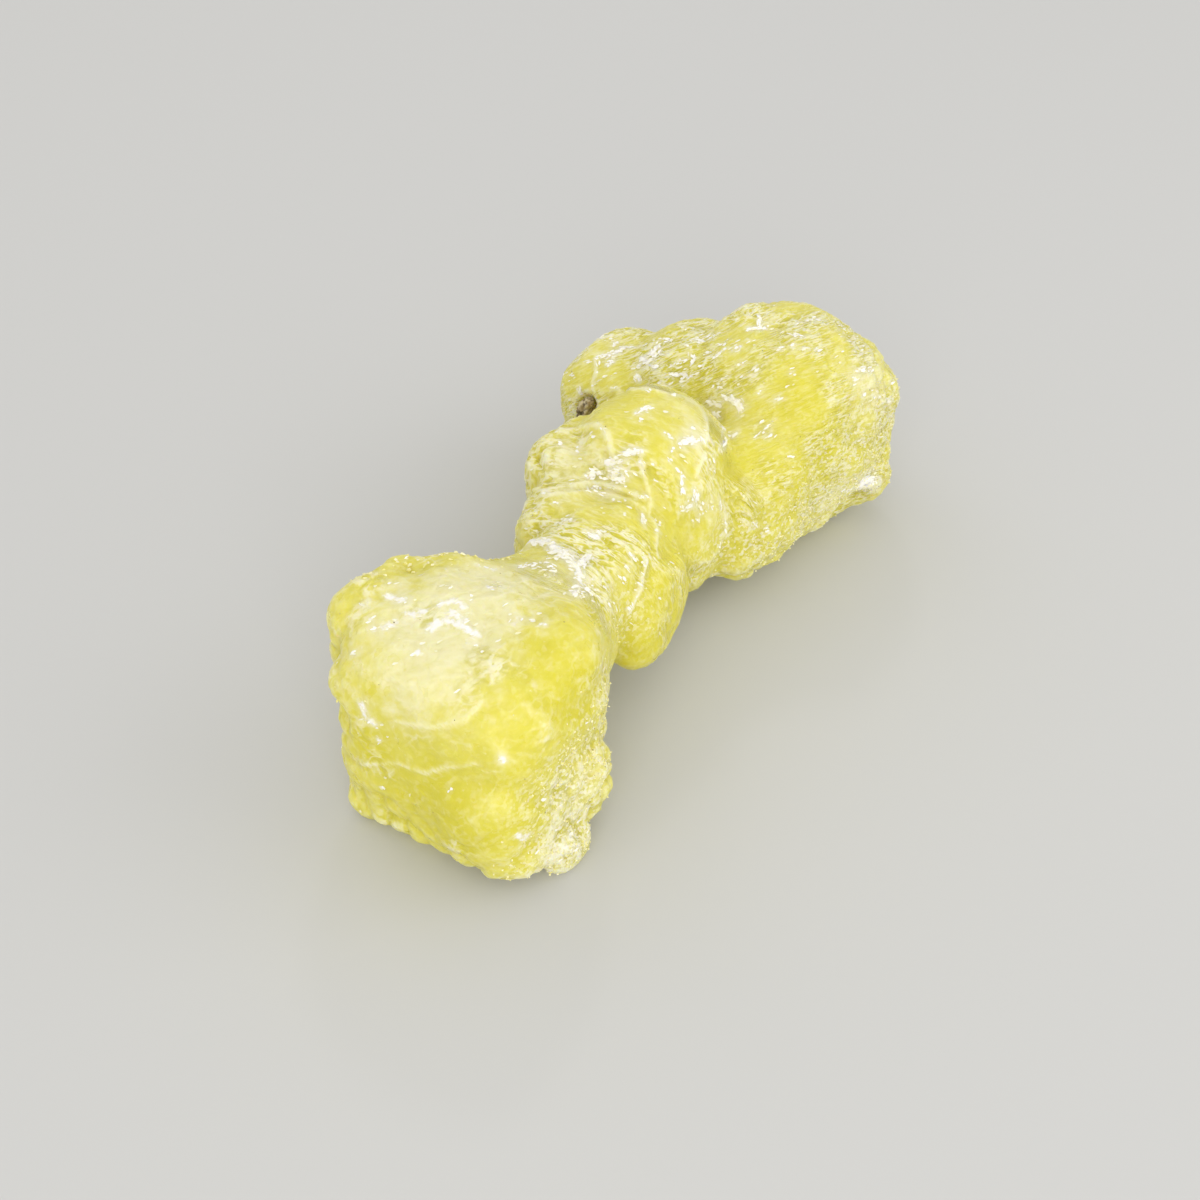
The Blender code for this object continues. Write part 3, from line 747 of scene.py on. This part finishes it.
# Broad crowns are painted paler and broad hollows a deeper yellow: painted light on the crowns, with some
# frosting on the lobes' rims, and painted shade in the hollows.
deep = weighed(tree, (clouds, 1.0), (clean, 0.30), (milk, -0.25), (crown, -0.10))
colour = mixed(tree, ramp(tree, deep, *DEEP), LEMON, DEEP_YELLOW)
cloudy = weighed(
    tree, (mottle, 0.30), (streaks, 0.50), (milk, 0.60), (crown, 0.20), (clean, -0.30),
    (small_faces["Tint"], 0.08), (share, 0.35),
)
colour = mixed(tree, ramp(tree, cloudy, *MILK), colour, CLOUDY)
marked = total(tree, scaled(tree, alive, 0.92), 0.08)
shown = weighed(tree, (streaks, 0.6), (mottle, 0.6), (flake, 0.15))
shown = scaled(tree, ramp(tree, shown, *SHOWING), alive)
grit = grit_faces["Tint"]
for pattern, mark, share_shown, over in (
    (fibres, DARK_FIBRE, marked, OLIVE), (fine_ridge, DARK_FINE_WRINKLE, alive, OLIVE),
    (broad_ridge, DARK_BROAD_WRINKLE, alive, OLIVE), (edge, HOLLOW_SHADE, marked, OLIVE),
    (fine_ridge, PALE_FINE_WRINKLE, shown, CREAM), (broad_ridge, PALE_BROAD_WRINKLE, shown, CREAM),
    (fibres, PALE_FIBRE, marked, CREAM), (edge, EDGE_WEAR_AND_LIGHT, marked, CREAM),
    (grit, GRIT_SHADE, sugar, OLIVE), (grit, PALE_GRIT, sugar, SUGAR_WHITE),
    (mottle, PALE_LIP_AND_RIM_LIGHT, rim_mark, CREAM),
):
    colour = mixed(tree, scaled(tree, ramp(tree, pattern, *mark), share_shown), colour, over)
frost_tint = mixed(tree, ramp(tree, clouds, *ROSY), FROST_WHITE, ROSY_WHITE)
colour = mixed(tree, scaled(tree, white, 0.95), colour, frost_tint)
tree.links.new(colour, shader.inputs["Base Color"])
tree.links.new(ranged(tree, small_faces["Tint"], GLOSSIEST, DULLEST), shader.inputs["Roughness"])
gritty = scaled(tree, scaled(tree, grit_faces["Height"], 0.4), total(tree, sugar, 0.1))
height = weighed(
    tree, (small_faces["Height"], 0.30), (fine_ridge, 0.18), (broad_ridge, 0.22), (streaks, 0.30),
    (fibres, 0.25), (gritty, 1.0),
)
height = scaled(tree, height, total(tree, scaled(tree, alive, 0.85), 0.15))
height = weighed(tree, (height, 1.0), (white, 0.12))
bumped(tree, shader, height, 1.0, BUMP_HEIGHT)
tree.links.new(ranged(tree, white, GLOW_CLEAR, GLOW_WHITE), shader.inputs["Subsurface Weight"])
for label, value in (
    ("Subsurface Radius", GLOW_COLOURS), ("Subsurface Scale", GLOW_DEPTH * MM),
    ("Sheen Weight", 0.14), ("Sheen Tint", SHEEN_COLOUR), ("Sheen Roughness", 0.30),
    ("Specular IOR Level", 0.38), ("IOR", BRUCITE_IOR),
):
    shader.inputs[label].default_value = value
mesh.materials.append(material)
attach(skin, "root")
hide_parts("brucite_cluster")

# --- The loose flakes -----------------------------------------------------
# Thin pearly leaves of brucite that have half lifted from the mass. They lie in clumps and
# strokes along the cleavage, and each one is rooted in the skin below it.
SEED = 7
FLAKES_PER_SQUARE = 10  # in a full patch, on a square millimetre
FEWEST_FLAKES = 2  # in any patch
PLAIN_FLAKES = 0.12  # the share of them in the blocky head, where the frost is mostly inside
PLAIN_BEGINS = 2  # millimetres beyond the waist where that head begins
LOOSE_FLAKES = 1100  # scattered between the patches
LOOSE_EVERYWHERE, LOOSE_BEHIND, PLAIN_LOSS = 0.003, 0.5, 0.75  # how likely
FLAKE_TINTS, LOOSE_TINTS = (0.35, 1.0), (0.0, 0.8)  # from yellow to pearl
FLAKE_LENGTH = (0.12, 0.38)  # millimetres from the middle to an end
FLAKE_WIDTH = (0.05, 0.17)  # millimetres from the middle to a side
FLAKE_RISE = (0.02, 0.07)  # millimetres above the skin
FLAKE_ROOT = 0.10  # millimetres below the skin
FLAKE_STATIONS = (-1.0, -0.4, 0.4, 1.0)  # where a flake's width is set, along its half length
FLAKE_TAPER = (0.35, 1.0, 0.9, 0.3)
FLAKE_RAGGEDNESS = (0.6, 1.25)  # how much narrower and wider than that each station may be
FLAKE_SWAY = 0.3  # and how far to one side, in half widths
FLAKE_SCATTER = 0.6  # how far from its stroke a flake may lie, in the stroke's widths
FLAKE_STRAY = 0.10  # and how far it is moved after that, in millimetres
FLAKE_TURN = 0.18  # how far it turns from its stroke, as a slope
DIRECTED_STROKE = (4, 12)  # a stroke of that many steps sets the way of its flakes
OFF_GROUND = (0.6, 3.0)  # millimetres over which loose pieces begin above the ground
NORMAL_PASSES = 12  # smoothing passes that take the relief out of the way the skin faces


def unit(vectors):
    return vectors / np.maximum(np.linalg.norm(vectors, axis=1), 1e-9)[:, None]


def cleavage(normals, chosen_ringed):
    """The way the cleavage runs over the skin at each point."""
    leaves = np.outer(1 - chosen_ringed, HEAD_LEAVES) + np.outer(chosen_ringed, WAIST_LEAVES)
    way = np.cross(leaves, normals)
    return unit(way - normals * (way * normals).sum(1)[:, None])


def drawn_sizes(count, *spans):
    """Sizes drawn by lot, a row for each piece."""
    return np.stack([rng.uniform(*span, count) for span in spans], axis=1)


def flakes_on(spots, ways, normals, sizes, tints):
    """One mesh of thin closed flakes that follow the skin, from half lengths, half widths and rises."""
    sides = np.cross(normals, ways)
    every = []
    for spot, way, side, normal, (length, width, rise) in zip(spots, ways, sides, normals, sizes):
        for station, taper in zip(FLAKE_STATIONS, FLAKE_TAPER):
            wide = side * width * taper * rng.uniform(*FLAKE_RAGGEDNESS)
            sway = side * width * rng.uniform(-FLAKE_SWAY, FLAKE_SWAY)
            middle = spot + way * length * station + sway
            edges_at = [
                np.array(skin_tree.find_nearest((middle + reach) * MM)[0]) / MM for reach in (wide, -wide)
            ]
            every += [edge + normal * rise for edge in edges_at]
            every += [edge - normal * FLAKE_ROOT for edge in reversed(edges_at)]
    corners = [4 * station + corner for station in range(len(FLAKE_STATIONS) - 1) for corner in range(4)]
    shape = [[k, k + 4, k - k % 4 + 4 + (k + 1) % 4, k - k % 4 + (k + 1) % 4] for k in corners]
    last = 4 * len(FLAKE_STATIONS)
    shape += [[0, 1, 2, 3], [last - 1, last - 2, last - 3, last - 4]]
    faces = [[last * n + k for k in face] for n in range(len(spots)) for face in shape]
    made = bpy.data.meshes.new("flakes")
    made.from_pydata((np.array(every) * MM).tolist(), [], faces)
    marked_on(made, "tint", np.repeat(tints, last))
    return made


rng = np.random.default_rng(SEED)
calm_normals = unit(smoothed(normals, edges, NORMAL_PASSES))
runs = cleavage(calm_normals, ringed_share)
above = eased(points[:, 2], *OFF_GROUND)
seats, ways, tints = [], [], []
for width, fullness, corners in frost_strokes:
    places = course(corners)
    long_way = places[-1] - places[0]
    count = FLAKES_PER_SQUARE * fullness * 2 * width * (np.linalg.norm(long_way) + 2 * width)
    in_plain_head = places[0][0] < WAIST_ENDS[0] - PLAIN_BEGINS
    count = max(FEWEST_FLAKES, round(count * (PLAIN_FLAKES if in_plain_head else 1)))
    shares = rng.random(count) * (len(places) - 1)
    low_end = shares.astype(int)
    high_end = np.minimum(low_end + 1, len(places) - 1)
    along = places[low_end] + (places[high_end] - places[low_end]) * (shares - low_end)[:, None]
    for spot in along + rng.normal(0, FLAKE_SCATTER * width, (count, 3)):
        nearest = np.argmin(((points - spot) ** 2).sum(1))
        seats.append(nearest)
        shortest, longest = DIRECTED_STROKE
        ways.append(long_way if shortest < len(places) < longest else runs[nearest])
        tints.append(rng.uniform(*FLAKE_TINTS))
chance = LOOSE_EVERYWHERE + spotty + LOOSE_BEHIND * frosted_behind
chance = chance * above * (1 - PLAIN_LOSS * plain_share)
loose = rng.choice(len(points), LOOSE_FLAKES, p=chance / chance.sum())
chosen = np.concatenate([np.array(seats), loose])
count = len(chosen)
facing = calm_normals[chosen]
ways = np.concatenate([np.array(ways), runs[loose]])
ways = unit(ways) + rng.normal(0, FLAKE_TURN, (count, 3))
ways = unit(ways - facing * (ways * facing).sum(1)[:, None])
sizes = drawn_sizes(count, FLAKE_LENGTH, FLAKE_WIDTH, FLAKE_RISE)
tints = np.concatenate([np.array(tints), rng.uniform(*LOOSE_TINTS, LOOSE_FLAKES)])
spots = points[chosen] + rng.normal(0, FLAKE_STRAY, (count, 3))
leaf_mesh = flakes_on(spots, ways, facing, sizes, tints)
flakes = placed("frost_flakes", leaf_mesh)

PEARL = (1.0, 0.985, 0.92, 1)
PEARL_YELLOW = (0.90, 0.86, 0.52, 1)
PEARL_GRAIN = 3.0  # how far its streaks are drawn out
PEARL_STREAK, PEARL_BUMP = 0.8, 0.1  # their size and depth in millimetres
material, tree, shader = new_material("pearly_flakes")
at = place(tree)
tint = attribute(tree, "tint")
pearl_grain = grouped(tree, leaf_grain, {"Across": HEAD_LEAVES, "Stretch": PEARL_GRAIN})["Vector"]
streak = noise_of(tree, pearl_grain, PEARL_STREAK, 3)
pearly = total(tree, tint, scaled(tree, streak, 0.5))
colour = mixed(tree, ramp(tree, pearly, 0.30, 1.00), PEARL_YELLOW, PEARL)
tree.links.new(colour, shader.inputs["Base Color"])
tree.links.new(ramp(tree, streak, 0.3, 0.7, 0.45), shader.inputs["Roughness"])
bumped(tree, shader, streak, 0.5, PEARL_BUMP)
shader.inputs["IOR"].default_value = BRUCITE_IOR
leaf_mesh.materials.append(material)
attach(flakes, "root")

# --- The sugar grains -----------------------------------------------------
# Crusts of tiny stubby crystals low on both heads, and a few larger clear ones that stand
# along the back rim of the blocky head. They grow out of the skin.
GRAINS = 3200
GRAIN_REACH = (0.07, 0.16)  # millimetres from a grain's middle to its sides
GRAIN_RISE = (0.00, 0.035)  # millimetres above the skin
RIM_GRAINS = [  # x, y, z, radius in millimetres, and how many grains
    (-30, 8.5, 23.5, 1.6, 16), (-26, 7, 23.5, 2.0, 22), (-22, 4, 22, 2.0, 26), (-18, 2.5, 21, 1.6, 18),
]
RIM_GRAIN_GROWTH = 1.9  # how much larger those are
TABLET_SIDES = 6
TABLET_SKEW = 0.25  # how far its corners are off an even spacing, in radians
TABLET_ROOT = 0.15  # millimetres below the skin
TABLET_TILT = 0.15  # how far a tablet leans, as a slope
TABLET_RAGGEDNESS = (0.45, 1.15)  # how far out its corners lie, in half lengths and half widths
TABLET_TOP = 0.82  # how wide its top is against its root
GRAIN_STRAY, GRAIN_LEAN = 0.10, 0.30  # millimetres it is off its seat, and how far it leans over
CRUST_SIZE = 3.2  # millimetres across the patches where grains crowd together
CRUST_EDGE = (-0.25, 0.30)  # where in the pattern such a patch begins and is full
CRUST_START, CRUST_FALL = 0.15, 1.3  # how sugary a place with a crust is, and how fast it thickens
BARE_GRAINS, STRAY_GRAINS = 0.15, 0.006  # how likely grains are between those patches, and elsewhere
CRUST_GROUND = (0.5, 1.5)  # millimetres over which the crusts begin above the ground


def tablets_of(points, normals, along, size, tints):
    """One mesh of closed six-sided tablets, from half lengths, half widths and rises."""
    count, last = (len(points), TABLET_SIDES), 2 * TABLET_SIDES
    corners = np.radians(360 / TABLET_SIDES * np.arange(TABLET_SIDES))
    corners = corners + rng.uniform(-TABLET_SKEW, TABLET_SKEW, count)
    reach = rng.uniform(*TABLET_RAGGEDNESS, count)
    across = np.cross(normals, along)
    out = (
        along[:, None] * (np.cos(corners) * reach * size[:, :1])[..., None]
        + across[:, None] * (np.sin(corners) * reach * size[:, 1:2])[..., None]
    )
    lean = rng.uniform(-TABLET_TILT, TABLET_TILT, len(points))[:, None]
    lean = lean * np.sin(corners) * size[:, 1:2]
    top = points[:, None] + TABLET_TOP * out + normals[:, None] * (size[:, 2:] + lean)[..., None]
    root = points[:, None] + out - normals[:, None] * TABLET_ROOT
    every = np.concatenate([top, root], axis=1).reshape(-1, 3)
    sides = [(k, (k + 1) % TABLET_SIDES) for k in range(TABLET_SIDES)]
    shape = [[k for k, _ in sides], [last - 1 - k for k, _ in sides]]
    shape += [[k, TABLET_SIDES + k, TABLET_SIDES + after, after] for k, after in sides]
    faces = [[last * n + k for k in face] for n in range(len(points)) for face in shape]
    made = bpy.data.meshes.new("leaves")
    made.from_pydata((every * MM).tolist(), [], faces)
    marked_on(made, "tint", np.repeat(tints, last))
    return made


crusty = eased(sampled(points, CRUST_SIZE, noise.noise), *CRUST_EDGE)
chance = np.clip(sugary - CRUST_START, 0, 1) ** CRUST_FALL * (BARE_GRAINS + crusty) + STRAY_GRAINS
chance *= eased(points[:, 2], *CRUST_GROUND)
chosen = [rng.choice(len(points), GRAINS, p=chance / chance.sum())]
for x, y, z, radius, count in RIM_GRAINS:
    near = np.exp(-((points - (x, y, z)) ** 2).sum(1) / radius**2)
    chosen.append(rng.choice(len(points), count, p=near / near.sum()))
chosen = np.concatenate(chosen)
count = len(chosen)
spots = points[chosen] + rng.normal(0, GRAIN_STRAY, (count, 3))
leans = unit(normals[chosen] + rng.normal(0, GRAIN_LEAN, (count, 3)))
ways = np.cross(leans, rng.normal(0, 1, (count, 3)))
sizes = drawn_sizes(count, GRAIN_REACH, GRAIN_REACH, GRAIN_RISE)
sizes[GRAINS:] *= RIM_GRAIN_GROWTH
grain_mesh = tablets_of(spots, leans, unit(ways), sizes, rng.random(count))
grains = placed("sugar_grains", grain_mesh)

GRAIN_PALE = (0.96, 0.92, 0.60, 1)
GRAIN_YELLOW = (0.90, 0.83, 0.30, 1)
GRAIN_CLOUD = 0.5  # millimetres
material, tree, shader = new_material("sugary_grains")
at = place(tree)
tint = attribute(tree, "tint")
cloud = noise_of(tree, at, GRAIN_CLOUD, 2)
colour = mixed(tree, ramp(tree, total(tree, tint, cloud), 0.4, 1.4), GRAIN_YELLOW, GRAIN_PALE)
tree.links.new(colour, shader.inputs["Base Color"])
tree.links.new(ramp(tree, cloud, 0.2, 0.8, 0.4), shader.inputs["Roughness"])
shader.inputs["IOR"].default_value = BRUCITE_IOR
grain_mesh.materials.append(material)
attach(grains, "root")

# --- The host rock crumb --------------------------------------------------
# A crumb of the brown rock that the brucite grew on, caught in a pocket beside the knob. It is
# a knot of small grains with dark joints between them.
CRUMB_GRID = 0.09  # millimetres
CRUMB_ROUNDING = 3  # smoothing passes
CRUMB_FILL = 0.07  # millimetres by which it fills the gap round the solid
ROCK_GRAIN = (0.6, 0.22)  # size across and height in millimetres
ROCK_CHIP = (0.9, 0.6)
ROCK_CHIP_SHIFT = 3  # millimetres, so that chips and grains don't coincide
ROCK_GRIT = (0.3, 0.06)
ROCK_FLAT_WAY = (0.15, -0.89, -0.43)  # it is a little flat this way
ROCK_FLATNESS = 0.36

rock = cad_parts["host_rock_crumb"]
crumb = regrown(rock, "rock_crumb", CRUMB_GRID, CRUMB_ROUNDING)
rock_points = read(crumb.data.vertices, "co") / MM
rock_normals = read(crumb.data.vertices, "normal")
knots = sampled(rock_points, ROCK_GRAIN[0], scallop)
roughness = sampled(rock_points, ROCK_GRIT[0], noise.noise)
chips = sampled(rock_points + ROCK_CHIP_SHIFT, ROCK_CHIP[0], chip)
rock_lift = CRUMB_FILL + ROCK_GRAIN[1] * knots + ROCK_CHIP[1] * chips + ROCK_GRIT[1] * roughness
rock_points = rock_points + rock_normals * rock_lift[:, None]
flat_way = np.array(ROCK_FLAT_WAY) / np.linalg.norm(ROCK_FLAT_WAY)
off_middle = (rock_points - rock_points.mean(0)) @ flat_way
rock_points -= np.outer(off_middle, flat_way) * ROCK_FLATNESS
reshaped(crumb.data, rock_points)
marked_on(crumb.data, "joint", 0.5 + knots)

ROCK_DARK = (0.075, 0.055, 0.022, 1)
ROCK_BROWN = (0.32, 0.23, 0.10, 1)
ROCK_PALE = (0.62, 0.53, 0.34, 1)
ROCK_TINT_SIZE, ROCK_MOTTLE = 0.45, 0.5  # millimetres
ROCK_BUMP = 0.2  # millimetres
material, tree, shader = new_material("host_rock")
at = place(tree)
tints = grouped(tree, crystal_faces, {"Vector": at, "Scale": 1 / (ROCK_TINT_SIZE * MM)})
mottle = noise_of(tree, at, ROCK_MOTTLE, 4, 0.4)
joint = attribute(tree, "joint")
colour = mixed(tree, ramp(tree, total(tree, tints["Tint"], mottle), 0.45, 1.35), ROCK_BROWN, ROCK_PALE)
colour = mixed(tree, ramp(tree, joint, 0.50, 0.15, 0.8), colour, ROCK_DARK)
tree.links.new(colour, shader.inputs["Base Color"])
tree.links.new(ranged(tree, mottle, 0.55, 0.95), shader.inputs["Roughness"])
height = weighed(tree, (tints["Height"], 0.6), (mottle, 1.0))
bumped(tree, shader, height, 0.9, ROCK_BUMP)
crumb.data.materials.append(material)
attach(crumb, "root")
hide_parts("host_rock_crumb")

# --- The rock dust --------------------------------------------------------
# Specks of the same rock, a tenth of a millimetre or so across, that have stuck to the skin
# here and there.
SPECKS = 150
SPECK_REACH = (0.05, 0.11)  # millimetres
SPECK_RISE = (0.02, 0.06)
SPECK_JOINTS = (0.2, 0.6)  # how dark the specks are, from dark to pale

chance = eased(points[:, 2], *OFF_GROUND) * (0.3 + sugary)
chosen = rng.choice(len(points), SPECKS, p=chance / chance.sum())
ways = unit(np.cross(normals[chosen], rng.normal(0, 1, (SPECKS, 3))))
sizes = drawn_sizes(SPECKS, SPECK_REACH, SPECK_REACH, SPECK_RISE)
speck_mesh = tablets_of(points[chosen], normals[chosen], ways, sizes, rng.random(SPECKS))
specks = placed("rock_dust", speck_mesh)
speck_mesh.materials.append(material)
marked_on(speck_mesh, "joint", np.repeat(rng.uniform(*SPECK_JOINTS, SPECKS), 2 * TABLET_SIDES))
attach(specks, "root")
